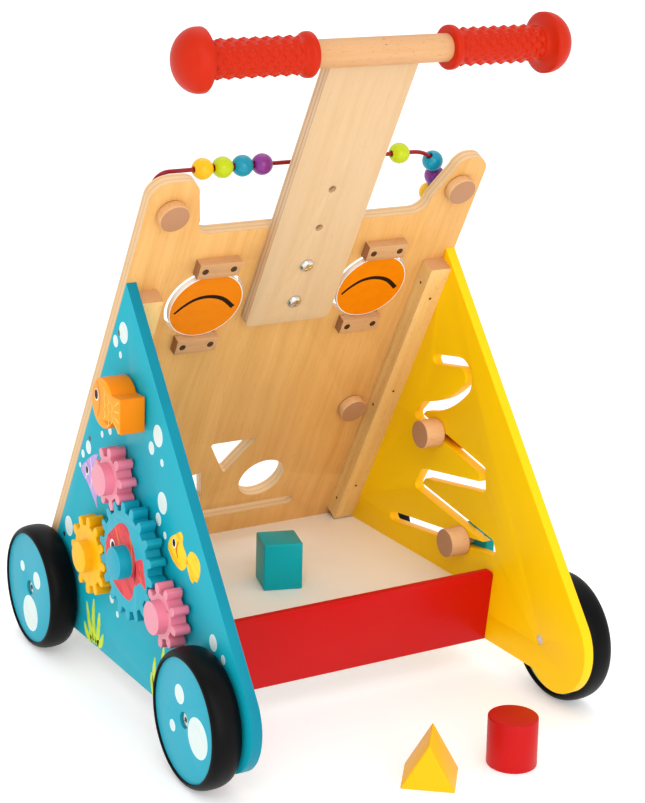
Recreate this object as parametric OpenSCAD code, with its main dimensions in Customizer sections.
// Wooden baby walker with play panels, sorter blocks, gears and bead wire.
// Millimetres, +Z up, +Y is the way it rolls, origin on the floor midway between the panels.

/* [Overall] */
// Width over the outer faces of the two side panels
frame_w = 282; // [265:1:300]
// Lean of the face board from vertical, its top towards the child
board_lean = 28.7; // [27:0.1:30]
// Distance along the board from its foot to the top corner of a side panel
apex_s = 338.8; // [325:0.5:345]
// Distance along the board from its foot to the axis of the handle dowel
handle_s = 539.2; // [533:0.1:545]

/* [Boards] */
// Thickness of the face board
board_t = 10; // [8:0.5:12]
// Thickness of each side panel
side_t = 8; // [6:0.5:10]
// Height of the side panels' straight bottom edge above the floor
side_bottom_z = 23.4; // [18:0.2:30]
// Radius of the lobe round the rear axle
lobe_r = 37.7; // [34:0.1:40]
// Height of the tray's top face
tray_top_z = 59.6; // [50:0.2:66]
// Thickness of the tray
tray_t = 8; // [6:0.5:10]
// Distance of the rear lip board's foot behind the origin
lip_back = 42.5; // [36:0.5:50]
// Thickness of the rear lip board
lip_t = 5; // [4:0.5:8]
// Height of the rear lip board along its own face
lip_h = 60; // [50:1:66]
// Lean of the rear lip board, its top towards the child
lip_lean = 8; // [2:0.5:12]

/* [Wheels] */
// Radius of a wheel over its tyre
wheel_r = 48.4; // [44:0.1:50]
// Thickness of the rubber tyre
tyre_t = 5.2; // [4:0.1:7]
// Distance of the front axles ahead of the origin
front_axle_y = 156.1; // [150:0.5:160]
// Distance of the rear axles behind the origin
rear_axle_back = 110.2; // [105:0.5:116]
// Radius of an axle bolt's shank
axle_r = 3; // [2.5:0.1:4]

/* [Handle] */
// Width of the handle arm
arm_w = 72; // [60:1:80]
// Thickness of the handle arm
arm_t = 10; // [8:0.5:12]
// Radius of the handle dowel
dowel_r = 10; // [9:0.1:11]
// Distance from the centre plane to a grip's inner end
grip_in = 55; // [48:1:60]
// Distance from the centre plane to a grip's outer end
grip_out = 157; // [150:1:162]
// Radius of the mushroom end of a grip
mushroom_r = 22; // [19:0.5:23]

/* [Face] */
// Distance of each eye's centre from the centre plane
eye_x = 71.5; // [66:0.5:74]
// Distance of the eyes' centres along the board from its foot
eye_s = 311; // [305:0.5:316]
// Radius of the eye holes
eye_hole_r = 32; // [30.5:0.1:33]
// Radius of the turning eye discs
eye_r = 29.6; // [27:0.1:29.8]
// Thickness of the turning eye discs
eye_t = 4; // [3:0.5:5]
// Distance of the ear pegs from the centre plane
ear_x = 121; // [119:0.5:123]
// Distance of the ear pegs along the board from its foot
ear_s = 401.3; // [398:0.1:404]
// Distance of the cheek pegs from the centre plane
cheek_x = 98; // [92:0.5:100]
// Distance of the cheek pegs along the board from its foot
cheek_s = 175.5; // [165:0.5:185]
// Radius of the pegs' rear caps
peg_cap_r = 11.4; // [10:0.1:12]

/* [Gears] */
// Tooth module of all the gears
gear_module = 4.5; // [4.3:0.05:4.6]
// Teeth on the large gear
large_teeth = 18; // [18]
// Teeth on the yellow gear
yellow_teeth = 12; // [12]
// Teeth on each pink gear
pink_teeth = 9; // [9]
// Thickness of the gears' toothed part
gear_t = 12; // [9:0.5:13]

/* [Beads] */
// Radius of the bead wire
wire_r = 1.6; // [1.2:0.1:1.8]
// Radius of a bead
bead_r = 8; // [7:0.1:8]
// Radius of a bead's bore
bead_bore_r = 2.5; // [2.3:0.1:3]

/* [Sliders] */
// Width of the winding slot in the yellow panel
slot_w = 8; // [7:0.2:10]
// Radius of the sliders' inner knobs
slider_r = 11.2; // [9:0.1:12]

/* [Sorter blocks] */
// Side of the square block
cube_w = 30.5; // [26:0.5:32]
// Height of the square block
cube_h = 37.2; // [32:0.2:40]
// Radius of the round block
round_r = 17.8; // [15:0.1:18.5]
// Height of the round block
round_h = 35.8; // [30:0.2:40]
// Side of the triangular block
prism_w = 38; // [33:0.5:39]

/* [Hidden] */
$fn = 64;

running = 0.05;      // radial clearance of a running fit
gap = 0.3;           // space between bodies that pass each other
cut = 1;             // how far a cutter runs past the face it opens
end_ease = 0.06;     // a slot's round ends and corners are this much wider than its sides
half_w = frame_w / 2;
inner_w = half_w - side_t;
foot = [192, 22];    // lower rear edge of the face board, as y and z
left = -1;
right = 1;

// A place on the board, s up from its foot and off ahead of its back face, as y and z.
function board_yz(s, off = 0) =
    [foot[0] - s * sin(board_lean) + off * cos(board_lean),
     foot[1] + s * cos(board_lean) + off * sin(board_lean)];

// Children are drawn with x across, y ahead of the board's back face and z up the board.
module on_board() {
    translate([0, foot[0], foot[1]])
        rotate([board_lean, 0, 0])
            children();
}

// A plate parallel to the board from a 2D outline in x and s.
module board_plate(off, t) {
    translate([0, off + t, 0])
        rotate([90, 0, 0])
            linear_extrude(t)
                children();
}

// A rod square to the board.
module board_rod(x, s, off, length, r) {
    translate([x, off, s])
        rotate([-90, 0, 0])
            cylinder(r = r, h = length);
}

// A plate parallel to the side panels from a 2D outline in y and z.
module side_plate(x, t) {
    translate([x, 0, 0])
        rotate([90, 0, 90])
            linear_extrude(t)
                children();
}

// A rod across the walker.
module cross_rod(x, yz, length, r) {
    translate([x, yz[0], yz[1]])
        rotate([0, 90, 0])
            cylinder(r = r, h = length);
}

// ---------------------------------------------------------------- screws

screw_head_r = 2.6;
screw_head_t = 1.6;
screw_r = 1.3;

// A countersunk screw lying along +Z with its head's face at z = 0, pointing down.
module screw(length, grow = 0) {
    translate([0, 0, -screw_head_t])
        cylinder(r1 = screw_r + grow, r2 = screw_head_r + grow, h = screw_head_t + grow);
    translate([0, 0, -length - grow])
        cylinder(r = screw_r + grow, h = length - screw_head_t + 2 * grow);
}

// ---------------------------------------------------------------- face board

ear_top_s = 428;
notch_s = 378;
// The left ear stands upright, and the right ear's inner side leans outwards.
left_outer_r = 15;
left_inner_r = 13;
left_inner_x = 115;
left_fillet_r = 11.5;
left_root_x = 84;
left_waist = [95.2, 391];
right_outer_r = 13;
right_inner_r = 12;
right_inner_x = 125;
right_fillet_r = 12;
right_root_x = 88.5;
right_waist = [100.2, 391.5];
foot_corner_r = 6;
peg_r = 7.5;
arm_bolt_s = [311.2, 346.7];
arm_spare_s = [382.5, 418.4];
arm_bolt_r = 3;
square_hole = [-37, 101, 14.7];
square_hole_w = 34.5;
round_hole = [35.5, 103.7];
round_hole_r = 20.3;
triangle_hole = [-3, 141];
triangle_hole_w = 43;
triangle_hole_r = 2;
mouth_s = 70;
mouth_w = 150;
mouth_h = 10;
wire_foot_x = 122.5;

module ear_outline(outer_r, inner_r, inner_x, fillet_r, root_x, waist) {
    shoulder_s = ear_top_s - outer_r;
    polygon([
        [half_w, 370], [half_w, shoulder_s], [half_w - outer_r, ear_top_s],
        [inner_x, ear_top_s], [inner_x - inner_r + 0.5, ear_top_s - inner_r + 2.5],
        waist, [root_x + fillet_r, notch_s + fillet_r], [root_x + fillet_r, 370]
    ]);
    translate([half_w - outer_r, shoulder_s])
        circle(r = outer_r);
    translate([inner_x, ear_top_s - inner_r])
        circle(r = inner_r);
    difference() {
        translate([root_x, notch_s - 1])
            square([fillet_r + 1, fillet_r + 1]);
        translate([root_x, notch_s + fillet_r])
            circle(r = fillet_r);
    }
}

module rounded_triangle(w, r) {
    reach = w / sqrt(3) - 2 * r;
    for (a = [-90, 30, 150])
        rotate(a)
            translate([reach, 0])
                circle(r = r);
    polygon([for (a = [-90, 30, 150]) for (side = [-60, 60])
        [reach * cos(a) + r * cos(a + side), reach * sin(a) + r * sin(a + side)]]);
}

module strip_between(a, b, w) {
    d = b - a;
    translate(a)
        rotate(atan2(d[1], d[0]))
            translate([0, -w / 2])
                square([norm(d), w]);
}

module slot_along(path, w) {
    for (i = [0 : len(path) - 2])
        strip_between(path[i], path[i + 1], w);
    for (p = path)
        translate(p)
            circle(r = w / 2 + end_ease);
}

module board_outline() {
    translate([-half_w, foot_corner_r])
        square([frame_w, notch_s - foot_corner_r]);
    translate([-half_w + foot_corner_r, 0])
        square([frame_w - 2 * foot_corner_r, notch_s]);
    for (side = [left, right])
        translate([side * (half_w - foot_corner_r), foot_corner_r])
            circle(r = foot_corner_r);
    ear_outline(right_outer_r, right_inner_r, right_inner_x, right_fillet_r, right_root_x, right_waist);
    mirror([1, 0])
        ear_outline(left_outer_r, left_inner_r, left_inner_x, left_fillet_r, left_root_x, left_waist);
}

module board_holes() {
    mouth_half = (mouth_w - mouth_h) / 2;
    for (side = [left, right]) {
        translate([side * eye_x, eye_s])
            circle(r = eye_hole_r);
        translate([side * ear_x, ear_s])
            circle(r = peg_r + running);
        translate([side * cheek_x, cheek_s])
            circle(r = peg_r + running);
    }
    translate([square_hole[0], square_hole[1]])
        rotate(square_hole[2])
            square(square_hole_w, center = true);
    translate(round_hole)
        circle(r = round_hole_r);
    translate(triangle_hole)
        rounded_triangle(triangle_hole_w, triangle_hole_r);
    slot_along([[-mouth_half, mouth_s], [mouth_half, mouth_s]], mouth_h);
    for (s = arm_bolt_s)
        translate([0, s])
            circle(r = arm_bolt_r + running);
}

module face_board() {
    color([0.86, 0.68, 0.46])
    difference() {
        on_board()
            board_plate(0, board_t)
                difference() {
                    board_outline();
                    board_holes();
                }
        on_board()
            for (side = [left, right])
                board_rod(side * wire_foot_x, wire_foot_s, wire_foot_in, board_t, wire_r + running);
        wood_screw_set(running);
    }
}

// ---------------------------------------------------------------- side panels

lobe_c = [-126.5, 52.5];
apex = board_yz(apex_s);
apex_flat = 1.5;
front_corner = [board_yz((side_bottom_z - foot[1]) / cos(board_lean))[0], side_bottom_z];
front_axle = [front_axle_y, wheel_r];
rear_axle = [-rear_axle_back, wheel_r];
axle_nut_r = 4.2;

module side_outline() {
    reach = norm(apex - lobe_c);
    inset = lobe_r - 0.05;
    tangent_a = atan2(apex[1] - lobe_c[1], apex[0] - lobe_c[0]) + acos(inset / reach);
    tangent = lobe_c + inset * [cos(tangent_a), sin(tangent_a)];
    slope = (apex - tangent) / norm(apex - tangent);
    polygon([front_corner, apex, apex - apex_flat * slope, tangent, lobe_c,
             [lobe_c[0], side_bottom_z]]);
    translate(lobe_c)
        circle(r = lobe_r, $fn = 96);
}

module side_panel(x) {
    difference() {
        side_plate(x, side_t)
            side_outline();
        for (axle = [front_axle, rear_axle])
            cross_rod(x - cut, axle, side_t + 2 * cut, axle_nut_r);
        children();
    }
}

module blue_side_panel() {
    color([0.16, 0.62, 0.72])
    side_panel(-half_w) {
        union() {
            for (pin = pivot_places)
                cross_rod(-half_w - cut, pin, side_t + 2 * cut, pivot_r);
            wood_screw_set(running);
        }
    }
}

module yellow_side_panel() {
    color([0.98, 0.74, 0.02])
    side_panel(inner_w) {
        union() {
            side_plate(inner_w - cut, side_t + 2 * cut)
                winding_slot();
            wood_screw_set(running);
        }
    }
}

// ---------------------------------------------------------------- winding slot and sliders

// Corners of the slot's centre line below its top hook, as y and z.
slot_path = [
    [50.9, 186], [60.5, 176.4], [42.1, 172.1], [-30.3, 156.4], [-31.2, 143.2], [49.7, 130],
    [57.1, 118.2], [-45, 102.3], [-47.2, 97.4], [92.8, 80.4]
];
hook_start = [37.6, 228];
hook_c = [3.9, 222]; // centre of the hook's round bend
hook_r = 11.6;
hook_from_a = 80;
hook_to_a = 215;
hook_sag = 4.9;      // how far the sweep below the bend hangs under its chord
hook_bend = [for (a = [hook_from_a : 15 : hook_to_a]) hook_c + hook_r * [cos(a), sin(a)]];
hook_sweep = sagging(hook_bend[len(hook_bend) - 1], slot_path[0], hook_sag, 8);
upper_run = [slot_path[2], slot_path[3]];
lower_run = [slot_path[9], slot_path[8]];
upper_at = 0.14;     // share of the run at which the upper slider rests
lower_at = 0.715;    // share of the run at which the lower slider rests
slider_knob_x = 116;
figure_t = 8;
stem_r = slot_w / 2 - 0.1;

// Points from a to b, ends left out, that hang by sag under the chord at its middle.
function sagging(a, b, sag, steps) =
    let(d = (b - a) / norm(b - a), down = [d[1], -d[0]])
    [for (i = [1 : steps - 1])
        let(t = i / steps) a + t * (b - a) + 4 * sag * t * (1 - t) * down];

// Half a width to one side of the middle one of three points.
function beside(before, p, after, half) =
    let(d = (after - before) / norm(after - before)) p + half * [-d[1], d[0]];

// A band of width w along a smooth line of points.
module band_along(line, w) {
    last = len(line) - 1;
    polygon([
        for (i = [0 : last])
            beside(line[max(i - 1, 0)], line[i], line[min(i + 1, last)], w / 2),
        for (i = [last : -1 : 0])
            beside(line[max(i - 1, 0)], line[i], line[min(i + 1, last)], -w / 2)
    ]);
}

module winding_slot() {
    slot_along(slot_path, slot_w);
    band_along(concat([hook_start], hook_bend, hook_sweep, [slot_path[0]]), slot_w);
    translate(hook_start)
        circle(r = slot_w / 2 + end_ease);
}

function along(run, share) = run[0] + share * (run[1] - run[0]);
upper_slider = along(upper_run, upper_at);
lower_slider = along(lower_run, lower_at);

module slider_knob(yz) {
    color([0.88, 0.68, 0.48]) {
        cross_rod(slider_knob_x, yz, inner_w - gap - slider_knob_x, slider_r);
        cross_rod(inner_w - gap - cut, yz, side_t + 2 * gap + cut + figure_t / 2, stem_r);
    }
}

module fish_outline(body_r, tail) {
    circle(r = body_r);
    polygon([[-body_r * 0.6, body_r * 0.45], [-tail, body_r * 0.75], [-tail, -body_r * 0.75],
             [-body_r * 0.6, -body_r * 0.45]]);
}

module slider_figure(yz) {
    difference() {
        side_plate(half_w + gap, figure_t)
            translate(yz)
                children();
        cross_rod(half_w, yz, gap + figure_t / 2, stem_r);
    }
}

module upper_slider_figure() {
    color([0.93, 0.35, 0.16])
    slider_figure(upper_slider)
        fish_outline(13.5, 20);
}

module lower_slider_figure() {
    color([0.1, 0.6, 0.7])
    slider_figure(lower_slider)
        fish_outline(13.5, 20);
}

// ---------------------------------------------------------------- tray, lip and battens

lip_corner_r = 6;
batten_w = 18;
batten_t = 14;
batten_from_s = 51.5;
batten_to_s = 330;
lip_foot = [-lip_back, side_bottom_z];
lip_front_y = lip_foot[0] - (tray_top_z - lip_foot[1]) * tan(lip_lean) + lip_t / cos(lip_lean);

module tray_shelf() {
    top = [board_yz((tray_top_z - foot[1]) / cos(board_lean))[0], tray_top_z];
    under_z = tray_top_z - tray_t;
    under = [board_yz((under_z - foot[1]) / cos(board_lean))[0], under_z];
    under_lip = [lip_front_y + tray_t * tan(lip_lean), under_z];
    color([0.93, 0.87, 0.78])
        side_plate(-inner_w, 2 * inner_w)
            polygon([top, under, under_lip, [lip_front_y, tray_top_z]]);
}

module lip_outline() {
    corner_x = inner_w - lip_corner_r;
    translate([-inner_w, 0])
        square([2 * inner_w, lip_h - lip_corner_r]);
    translate([-corner_x, 0])
        square([2 * corner_x, lip_h]);
    for (side = [left, right])
        translate([side * corner_x, lip_h - lip_corner_r])
            circle(r = lip_corner_r);
}

module rear_lip_board() {
    color([0.84, 0.1, 0.1])
        translate([0, lip_foot[0], lip_foot[1]])
            rotate([lip_lean, 0, 0])
                board_plate(0, lip_t)
                    lip_outline();
}

module corner_batten(side) {
    start = side == right ? inner_w - batten_w : -inner_w;
    color([0.87, 0.67, 0.47])
    difference() {
        on_board()
            translate([start, -batten_t, batten_from_s])
                cube([batten_w, batten_t, batten_to_s - batten_from_s]);
        wood_screw_set(running);
    }
}

// ---------------------------------------------------------------- eyes

cleat_w = 34;
cleat_h = 13.4;
cleat_t = 7.5;
cleat_out = 37;      // distance of a cleat's middle from its eye's centre
eye_axis_off = -1.7; // the eye's axis lies this far ahead of the board's back face
eye_pin_r = 1.25;
eye_pin_in = 20;
cleat_screw_x = 11.6;

module eye_pin_pair(side, grow) {
    for (way = [left, right])
        translate([side * eye_x, eye_axis_off, eye_s + way * (eye_pin_in + cleat_out) / 2])
            cylinder(r = eye_pin_r + grow, h = cleat_out - eye_pin_in + 2 * grow, center = true);
}

module eye_disc(side) {
    color([0.94, 0.55, 0.02])
    difference() {
        on_board()
            board_rod(side * eye_x, eye_s, eye_axis_off - eye_t / 2, eye_t, eye_r);
        on_board()
            eye_pin_pair(side, 0);
    }
}

module eye_pins(side) {
    color([0.7, 0.7, 0.72])
        on_board()
            eye_pin_pair(side, 0);
}

module eye_cleats() {
    color([0.85, 0.63, 0.44])
    difference() {
        on_board()
            for (side = [left, right], way = [left, right])
                translate([side * eye_x - cleat_w / 2, -cleat_t,
                           eye_s + way * cleat_out - cleat_h / 2])
                    cube([cleat_w, cleat_t, cleat_h]);
        on_board()
            for (side = [left, right])
                eye_pin_pair(side, running);
        wood_screw_set(running);
    }
}

// ---------------------------------------------------------------- turning pegs

ear_spinner_r = 9;
ear_spinner_t = 3.5;
cheek_spinner_r = 17;
cheek_spinner_t = 8;
peg_cap_t = 7.5;

module spinner(x, s, r, t) {
    on_board()
        difference() {
            board_rod(x, s, board_t + gap, t, r);
            board_rod(x, s, board_t + gap - cut, t / 2 + cut, peg_r);
        }
}

module peg(x, s, spinner_t) {
    color([0.86, 0.66, 0.46])
        on_board() {
            board_rod(x, s, -peg_cap_t - gap, peg_cap_t, peg_cap_r);
            board_rod(x, s, -gap - cut, board_t + 2 * gap + spinner_t / 2 + cut, peg_r);
        }
}

// ---------------------------------------------------------------- handle

arm_from_s = 290;
arm_corner_r = 5;
bolt_head_r = 5;
bolt_head_t = 3;
nut_r = 5.5;
nut_t = 5;
dowel_end = 150;
grip_r = 12.4;
flange_r = 15.8;

module arm_outline() {
    corner_x = arm_w / 2 - arm_corner_r;
    difference() {
        union() {
            translate([-arm_w / 2, arm_from_s + arm_corner_r])
                square([arm_w, handle_s - arm_from_s - arm_corner_r]);
            translate([-corner_x, arm_from_s])
                square([2 * corner_x, arm_corner_r + cut]);
            for (side = [left, right])
                translate([side * corner_x, arm_from_s + arm_corner_r])
                    circle(r = arm_corner_r);
        }
        for (s = concat(arm_bolt_s, arm_spare_s))
            translate([0, s])
                circle(r = arm_bolt_r + running);
    }
}

// The dowel's axis, ahead of the board's back face.
dowel_off = -9.6;

module dowel_rod(reach, r) {
    on_board()
        translate([-reach, dowel_off, handle_s])
            rotate([0, 90, 0])
                cylinder(r = r, h = 2 * reach);
}

module handle_arm() {
    color([0.93, 0.8, 0.64])
    difference() {
        on_board()
            board_plate(-arm_t, arm_t)
                arm_outline();
        dowel_rod(arm_w, dowel_r);
        wood_screw_set(running);
    }
}

module handle_dowel() {
    color([0.88, 0.7, 0.5])
    difference() {
        dowel_rod(dowel_end, dowel_r);
        wood_screw_set(running);
    }
}

// Outline of a grip, as radius and distance along the dowel.
function grip_profile() = let(dome = 17, rim = grip_out - dome) concat(
    [[dowel_r, grip_in], [flange_r - 1.2, grip_in], [flange_r, grip_in + 1.5],
     [flange_r, grip_in + 3.5], [grip_r + 0.8, grip_in + 7], [grip_r, grip_in + 9],
     [grip_r, rim - 7], [mushroom_r - 1.4, rim - 4.5], [mushroom_r, rim - 2]],
    [for (a = [0 : 10 : 80]) [mushroom_r * cos(a), rim + dome * sin(a)]],
    [[0, grip_out], [0, dowel_end], [dowel_r, dowel_end]]);

module grip() {
    color([0.9, 0.2, 0.08])
        on_board()
            translate([0, dowel_off, handle_s])
                rotate([0, 90, 0])
                    rotate_extrude()
                        polygon(grip_profile());
}

module arm_bolts() {
    color([0.78, 0.78, 0.8])
        on_board()
            for (s = arm_bolt_s) {
                board_rod(0, s, -arm_t - 0.01, arm_t + board_t + nut_t - 1, arm_bolt_r);
                translate([0, -arm_t, s])
                    rotate([90, 0, 0])
                        cylinder(r1 = bolt_head_r, r2 = bolt_head_r - 2, h = bolt_head_t);
            }
}

module arm_nuts() {
    color([0.75, 0.75, 0.78])
        on_board()
            difference() {
                for (s = arm_bolt_s)
                    translate([0, board_t, s])
                        rotate([-90, 0, 0])
                            cylinder(r1 = nut_r, r2 = nut_r - 1.5, h = nut_t);
                for (s = arm_bolt_s)
                    board_rod(0, s, board_t - cut, nut_t - 1 + cut, arm_bolt_r);
            }
}

// ---------------------------------------------------------------- wood screws

cleat_screw_l = 14;
batten_screw_l = 20;
dowel_screw_l = 30;
dowel_screw_a = 15;  // tilt of the dowel's screw towards the middle of the arm
batten_board_s = [90, 200, 300];
batten_side_s = [70, 180, 312];

module wood_screw_set(grow = 0) {
    on_board() {
        for (side = [left, right], way = [left, right], end = [left, right])
            translate([side * eye_x + end * cleat_screw_x, -cleat_t, eye_s + way * cleat_out])
                rotate([90, 0, 0])
                    screw(cleat_screw_l, grow);
        for (side = [left, right]) {
            for (s = batten_board_s)
                translate([side * (inner_w - batten_w / 2), -batten_t, s])
                    rotate([90, 0, 0])
                        screw(batten_screw_l, grow);
            for (s = batten_side_s)
                translate([side * (inner_w - batten_w), -batten_t / 2, s])
                    rotate([0, -side * 90, 0])
                        screw(batten_screw_l, grow);
        }
        translate([0, dowel_off, handle_s])
            rotate([dowel_screw_a, 0, 0])
                translate([0, 0, dowel_r - 0.3])
                    screw(dowel_screw_l, grow);
    }
}

module wood_screws() {
    color([0.45, 0.42, 0.4])
        wood_screw_set(0);
}

// ---------------------------------------------------------------- bead wire

wire_off = 30;       // the wire stands this far ahead of the board's back face
wire_s = 413.5;
wire_foot_s = 358;
wire_foot_in = 4;
wire_foot_bend = 5;
left_bend = 10;
right_bend = 30;

module wire_leg(side, bend) {
    rise = wire_s - bend - wire_foot_s - wire_foot_bend;
    board_rod(side * wire_foot_x, wire_foot_s, wire_foot_in,
              wire_off - wire_foot_bend - wire_foot_in, wire_r);
    translate([side * wire_foot_x, wire_off - wire_foot_bend, wire_foot_s + wire_foot_bend])
        rotate([0, 90, 0])
            rotate_extrude(angle = 90)
                translate([wire_foot_bend, 0])
                    circle(r = wire_r, $fn = 24);
    translate([side * wire_foot_x, wire_off, wire_foot_s + wire_foot_bend])
        cylinder(r = wire_r, h = rise);
    translate([side * (wire_foot_x - bend), wire_off, wire_s - bend])
        rotate([90, side == right ? 0 : -90, 0])
            rotate_extrude(angle = 90)
                translate([bend, 0])
                    circle(r = wire_r, $fn = 24);
}

module bead_wire() {
    from_x = -(wire_foot_x - left_bend);
    to_x = wire_foot_x - right_bend;
    color([0.6, 0.08, 0.12])
        on_board() {
            wire_leg(left, left_bend);
            wire_leg(right, right_bend);
            translate([from_x, wire_off, wire_s])
                rotate([0, 90, 0])
                    cylinder(r = wire_r, h = to_x - from_x);
        }
}

bead_gap = 0.2;
bead_pitch = 2 * bead_r + bead_gap;
left_bead_x = -85.8;
lime_right_x = 80.7;
arc_sag = 0.45;      // a bead on the bend sits this far inside the wire's centre line
teal_a = 42;
purple_a = 9.5;
yellow_right_s = 371.6;

// A bead at x and s with its bore turned a degrees from the board's x axis.
module bead(x, s, a) {
    on_board()
        translate([x, wire_off, s])
            rotate([0, 90 - a, 0])
                difference() {
                    sphere(r = bead_r);
                    cylinder(r = bead_bore_r, h = 2 * bead_r + cut, center = true);
                }
}

module bead_on_bend(a) {
    r = right_bend - arc_sag;
    bead(wire_foot_x - right_bend + r * cos(a), wire_s - right_bend + r * sin(a), a - 90);
}

// ---------------------------------------------------------------- wheels

wheel_gap = 4.5;     // space between a side panel and a wheel's inner face
wheel_w = 18.2;      // width of a wheel
wheel_face = half_w + wheel_gap + wheel_w;
tyre_gap = 1.8;      // space between a side panel and its tyre
tyre_proud = 1.5;    // how far a tyre stands out past its wheel's face
tyre_out = wheel_face + tyre_proud;
tyre_in = half_w + tyre_gap;
tyre_round = 5;
tyre_inner_round = 3;
hub_r = 8;
head_r = 5;
head_t = 5;
socket_r = 2.2;
disc_r = wheel_r - tyre_t;

module wheel_place(side, axle) {
    translate([0, axle[0], axle[1]])
        mirror([side == left ? 1 : 0, 0, 0])
            rotate([0, 90, 0])
                children();
}

module wheel_disc(side, axle) {
    disc_in = half_w + wheel_gap;
    color([0.2, 0.64, 0.74])
        wheel_place(side, axle)
            difference() {
                union() {
                    translate([0, 0, disc_in])
                        cylinder(r = disc_r, h = wheel_face - disc_in, $fn = 96);
                    translate([0, 0, half_w + gap])
                        cylinder(r = hub_r, h = disc_in - half_w);
                }
                translate([0, 0, half_w])
                    cylinder(r = axle_r + running, h = wheel_face);
                translate([0, 0, wheel_face - head_t - 2])
                    cylinder(r = head_r + 0.6, h = head_t + 2 + cut);
            }
}

module tyre(side, axle) {
    outer = wheel_r - tyre_round;
    inner = wheel_r - tyre_inner_round;
    color([0.1, 0.09, 0.1])
        wheel_place(side, axle)
            rotate_extrude($fn = 96)
                polygon(concat(
                    [[disc_r, tyre_out], [disc_r, tyre_in]],
                    [for (a = [-90 : 15 : 0])
                        [inner + tyre_inner_round * cos(a),
                         tyre_in + tyre_inner_round + tyre_inner_round * sin(a)]],
                    [for (a = [0 : 10 : 90])
                        [outer + tyre_round * cos(a), tyre_out - tyre_round + tyre_round * sin(a)]]));
}

module axle_bolt(side, axle) {
    head_at = wheel_face - head_t - 2 + gap;
    wheel_place(side, axle)
        difference() {
            union() {
                translate([0, 0, inner_w + 1])
                    cylinder(r = axle_r, h = head_at - inner_w);
                translate([0, 0, head_at])
                    cylinder(r = head_r, h = head_t);
            }
            translate([0, 0, head_at + head_t / 2])
                cylinder(r = socket_r, h = head_t, $fn = 6);
        }
}

module axle_nut(side, axle) {
    wheel_place(side, axle)
        translate([0, 0, inner_w + 0.8])
            difference() {
                cylinder(r = axle_nut_r, h = side_t - 1);
                translate([0, 0, 0.2])
                    cylinder(r = axle_r, h = side_t);
                translate([0, 0, -cut])
                    cylinder(r = axle_r - 0.6, h = side_t);
            }
}

module axle_bolts() {
    color([0.72, 0.72, 0.74])
        for (side = [left, right], axle = [front_axle, rear_axle])
            axle_bolt(side, axle);
}

module axle_nuts() {
    color([0.66, 0.62, 0.6])
        for (side = [left, right], axle = [front_axle, rear_axle])
            axle_nut(side, axle);
}

// ---------------------------------------------------------------- gears

pivot_r = 4;
pivot_head_r = 7;
pivot_head_t = 2.5;
gear_stand = 2;      // space between the panel and a gear's back
knob_r = 11.9;
pressure = 22;       // pressure angle of the teeth
addendum = 0.65;
dedendum = 0.88;
backlash = 0.5;
undercut = 0.2;      // how fast a tooth narrows below its base circle
tip_ease = 0.5;      // bevel at a tooth's tip
gear_face = half_w + gear_stand + gear_t;
pivot_tip = gear_face - 3;

large_gear_c = [0.5, 122.2];
to_upper_a = 61;     // direction from the large gear to each follower
to_lower_a = 199.9;
to_yellow_a = -15.3;
large_phase = 4;

function pitch_r(teeth) = gear_module * teeth / 2;
function mesh_c(teeth, a) =
    large_gear_c + (pitch_r(large_teeth) + pitch_r(teeth)) * [cos(a), sin(a)];
function mesh_phase(teeth, a) =
    a + 180 - 360 / teeth * (0.5 - large_teeth * (a - large_phase) / 360);

upper_gear_c = mesh_c(pink_teeth, to_upper_a);
lower_gear_c = mesh_c(pink_teeth, to_lower_a);
yellow_gear_c = mesh_c(yellow_teeth, to_yellow_a);
fish_c = [24, 234.5];
pivot_places = [large_gear_c, upper_gear_c, lower_gear_c, yellow_gear_c, fish_c];

// Angle, in degrees, by which an involute has turned at radius r from a base circle.
function involute_a(base, r) =
    let(roll = sqrt(max(pow(r / base, 2) - 1, 0))) roll * 180 / PI - atan(roll);

// Half the angle that a tooth covers at radius r.
function tooth_half_a(teeth, r) =
    let(p = pitch_r(teeth), base = p * cos(pressure))
    (PI * gear_module / 2 - backlash) / 2 / p * 180 / PI
    + involute_a(base, p) - involute_a(base, max(r, base))
    - undercut * max(base - r, 0) / p * 180 / PI;

function tooth_point(r, a) = r * [cos(a), sin(a)];

module gear_outline(teeth, phase) {
    p = pitch_r(teeth);
    root = p - dedendum * gear_module;
    tip = p + addendum * gear_module;
    flank = [root, p * 0.93, p, (p + tip) / 2, tip - tip_ease, tip];
    ease = [0, 0, 0, 0, 0, tip_ease];
    polygon([for (i = [0 : teeth - 1])
        let(mid = phase + 360 * i / teeth)
        each concat(
            [for (k = [0 : 5])
                tooth_point(flank[k], mid - tooth_half_a(teeth, flank[k]) + ease[k] / p * 180 / PI)],
            [for (k = [5 : -1 : 0])
                tooth_point(flank[k], mid + tooth_half_a(teeth, flank[k]) - ease[k] / p * 180 / PI)])]);
}

module gear(c, teeth, phase, knob_t) {
    difference() {
        union() {
            side_plate(-gear_face, gear_t)
                translate(c)
                    gear_outline(teeth, phase);
            cross_rod(-gear_face - knob_t, c, knob_t + 1, knob_r);
        }
        cross_rod(-pivot_tip - gap, c, pivot_tip + gap, pivot_r + running);
    }
}

module large_gear() {
    color([0.22, 0.66, 0.76])
        gear(large_gear_c, large_teeth, large_phase, 9.5);
}

module yellow_gear() {
    color([1, 0.8, 0.1])
        gear(yellow_gear_c, yellow_teeth, mesh_phase(yellow_teeth, to_yellow_a), 7.5);
}

module upper_pink_gear() {
    color([0.95, 0.58, 0.68])
        gear(upper_gear_c, pink_teeth, mesh_phase(pink_teeth, to_upper_a), 7.5);
}

module lower_pink_gear() {
    color([0.95, 0.58, 0.68])
        gear(lower_gear_c, pink_teeth, mesh_phase(pink_teeth, to_lower_a), 7.5);
}

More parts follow.
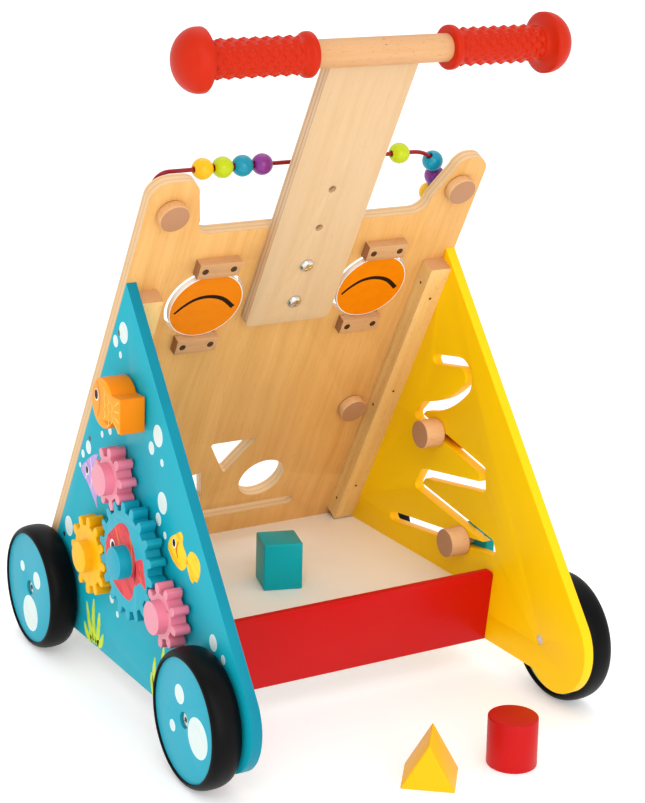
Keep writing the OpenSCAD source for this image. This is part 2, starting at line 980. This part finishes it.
module pivot_pins() {
    color([0.8, 0.66, 0.48])
        for (pin = pivot_places) {
            cross_rod(-pivot_tip, pin, pivot_tip - inner_w, pivot_r);
            cross_rod(-inner_w, pin, pivot_head_t, pivot_head_r);
        }
}

// ---------------------------------------------------------------- orange fish

fish_r = 18.5;
fish_t = 19.5;
fish_stand = 1.5;

module orange_fish() {
    tail = [[-12, 9.5], [-29.8, 10.2], [-29.4, -16], [-13, -9]];
    color([0.96, 0.6, 0.06])
    difference() {
        side_plate(-half_w - fish_stand - fish_t, fish_t)
            translate(fish_c) {
                circle(r = fish_r);
                polygon(tail);
            }
        cross_rod(-pivot_tip - gap, fish_c, pivot_tip + gap, pivot_r + running);
    }
}

// ---------------------------------------------------------------- sorter blocks

module block_cube() {
    color([0.0, 0.58, 0.6])
        translate([1.9, 52, tray_top_z])
            rotate([0, 0, -16.7])
                translate([-cube_w / 2, -cube_w / 2, 0])
                    cube([cube_w, cube_w, cube_h]);
}

module block_prism() {
    length = 38.5;
    color([0.98, 0.8, 0.2])
        translate([-34.7, -181, 0])
            rotate([0, 0, -37.9])
                translate([0, length, 0])
                    rotate([90, 0, 0])
                        linear_extrude(length)
                            polygon([[0, 0], [prism_w, 0], [prism_w / 2, prism_w * sin(60)]]);
}

module block_cylinder() {
    color([0.86, 0.12, 0.14])
        translate([56.1, -184.5, 0])
            cylinder(r = round_r, h = round_h);
}

// ---------------------------------------------------------------- the assembly

face_board();
blue_side_panel();
yellow_side_panel();
tray_shelf();
rear_lip_board();
corner_batten(left);  // left_corner_batten
corner_batten(right);  // right_corner_batten
handle_arm();
handle_dowel();
mirror([1, 0, 0]) grip();  // left_grip
grip();  // right_grip
arm_bolts();
arm_nuts();
wood_screws();
bead_wire();
color([1, 0.76, 0.08]) bead(left_bead_x, wire_s, 0);  // bead_yellow_left
color([0.76, 0.86, 0.05]) bead(left_bead_x + bead_pitch, wire_s, 0);  // bead_lime_left
color([0.12, 0.62, 0.74]) bead(left_bead_x + 2 * bead_pitch, wire_s, 0);  // bead_teal_left
color([0.55, 0.24, 0.55]) bead(left_bead_x + 3 * bead_pitch, wire_s, 0);  // bead_purple_left
color([0.76, 0.86, 0.05]) bead(lime_right_x, wire_s, 0);  // bead_lime_right
color([0.12, 0.62, 0.74]) bead_on_bend(teal_a);  // bead_teal_right
color([0.55, 0.24, 0.55]) bead_on_bend(purple_a);  // bead_purple_right
color([1, 0.76, 0.08]) bead(wire_foot_x, yellow_right_s, 90);  // bead_yellow_right
wheel_disc(left, front_axle);  // front_left_wheel_disc
tyre(left, front_axle);  // front_left_tyre
wheel_disc(right, front_axle);  // front_right_wheel_disc
tyre(right, front_axle);  // front_right_tyre
wheel_disc(left, rear_axle);  // rear_left_wheel_disc
tyre(left, rear_axle);  // rear_left_tyre
wheel_disc(right, rear_axle);  // rear_right_wheel_disc
tyre(right, rear_axle);  // rear_right_tyre
axle_bolts();
axle_nuts();
large_gear();
yellow_gear();
upper_pink_gear();
lower_pink_gear();
pivot_pins();
orange_fish();
eye_disc(left);  // left_eye_disc
eye_disc(right);  // right_eye_disc
eye_pins(left);  // left_eye_pins
eye_pins(right);  // right_eye_pins
eye_cleats();
color([0.95, 0.58, 0.68]) spinner(-ear_x, ear_s, ear_spinner_r, ear_spinner_t);  // left_ear_spinner
color([0.95, 0.58, 0.68]) spinner(ear_x, ear_s, ear_spinner_r, ear_spinner_t);  // right_ear_spinner
color([0.1, 0.6, 0.7]) spinner(-cheek_x, cheek_s, cheek_spinner_r, cheek_spinner_t);  // left_cheek_spinner
color([0.1, 0.6, 0.7]) spinner(cheek_x, cheek_s, cheek_spinner_r, cheek_spinner_t);  // right_cheek_spinner
peg(-ear_x, ear_s, ear_spinner_t);  // left_ear_peg
peg(ear_x, ear_s, ear_spinner_t);  // right_ear_peg
peg(-cheek_x, cheek_s, cheek_spinner_t);  // left_cheek_peg
peg(cheek_x, cheek_s, cheek_spinner_t);  // right_cheek_peg
slider_knob(upper_slider);  // upper_slider_knob
upper_slider_figure();
slider_knob(lower_slider);  // lower_slider_knob
lower_slider_figure();
block_cube();
block_prism();
block_cylinder();
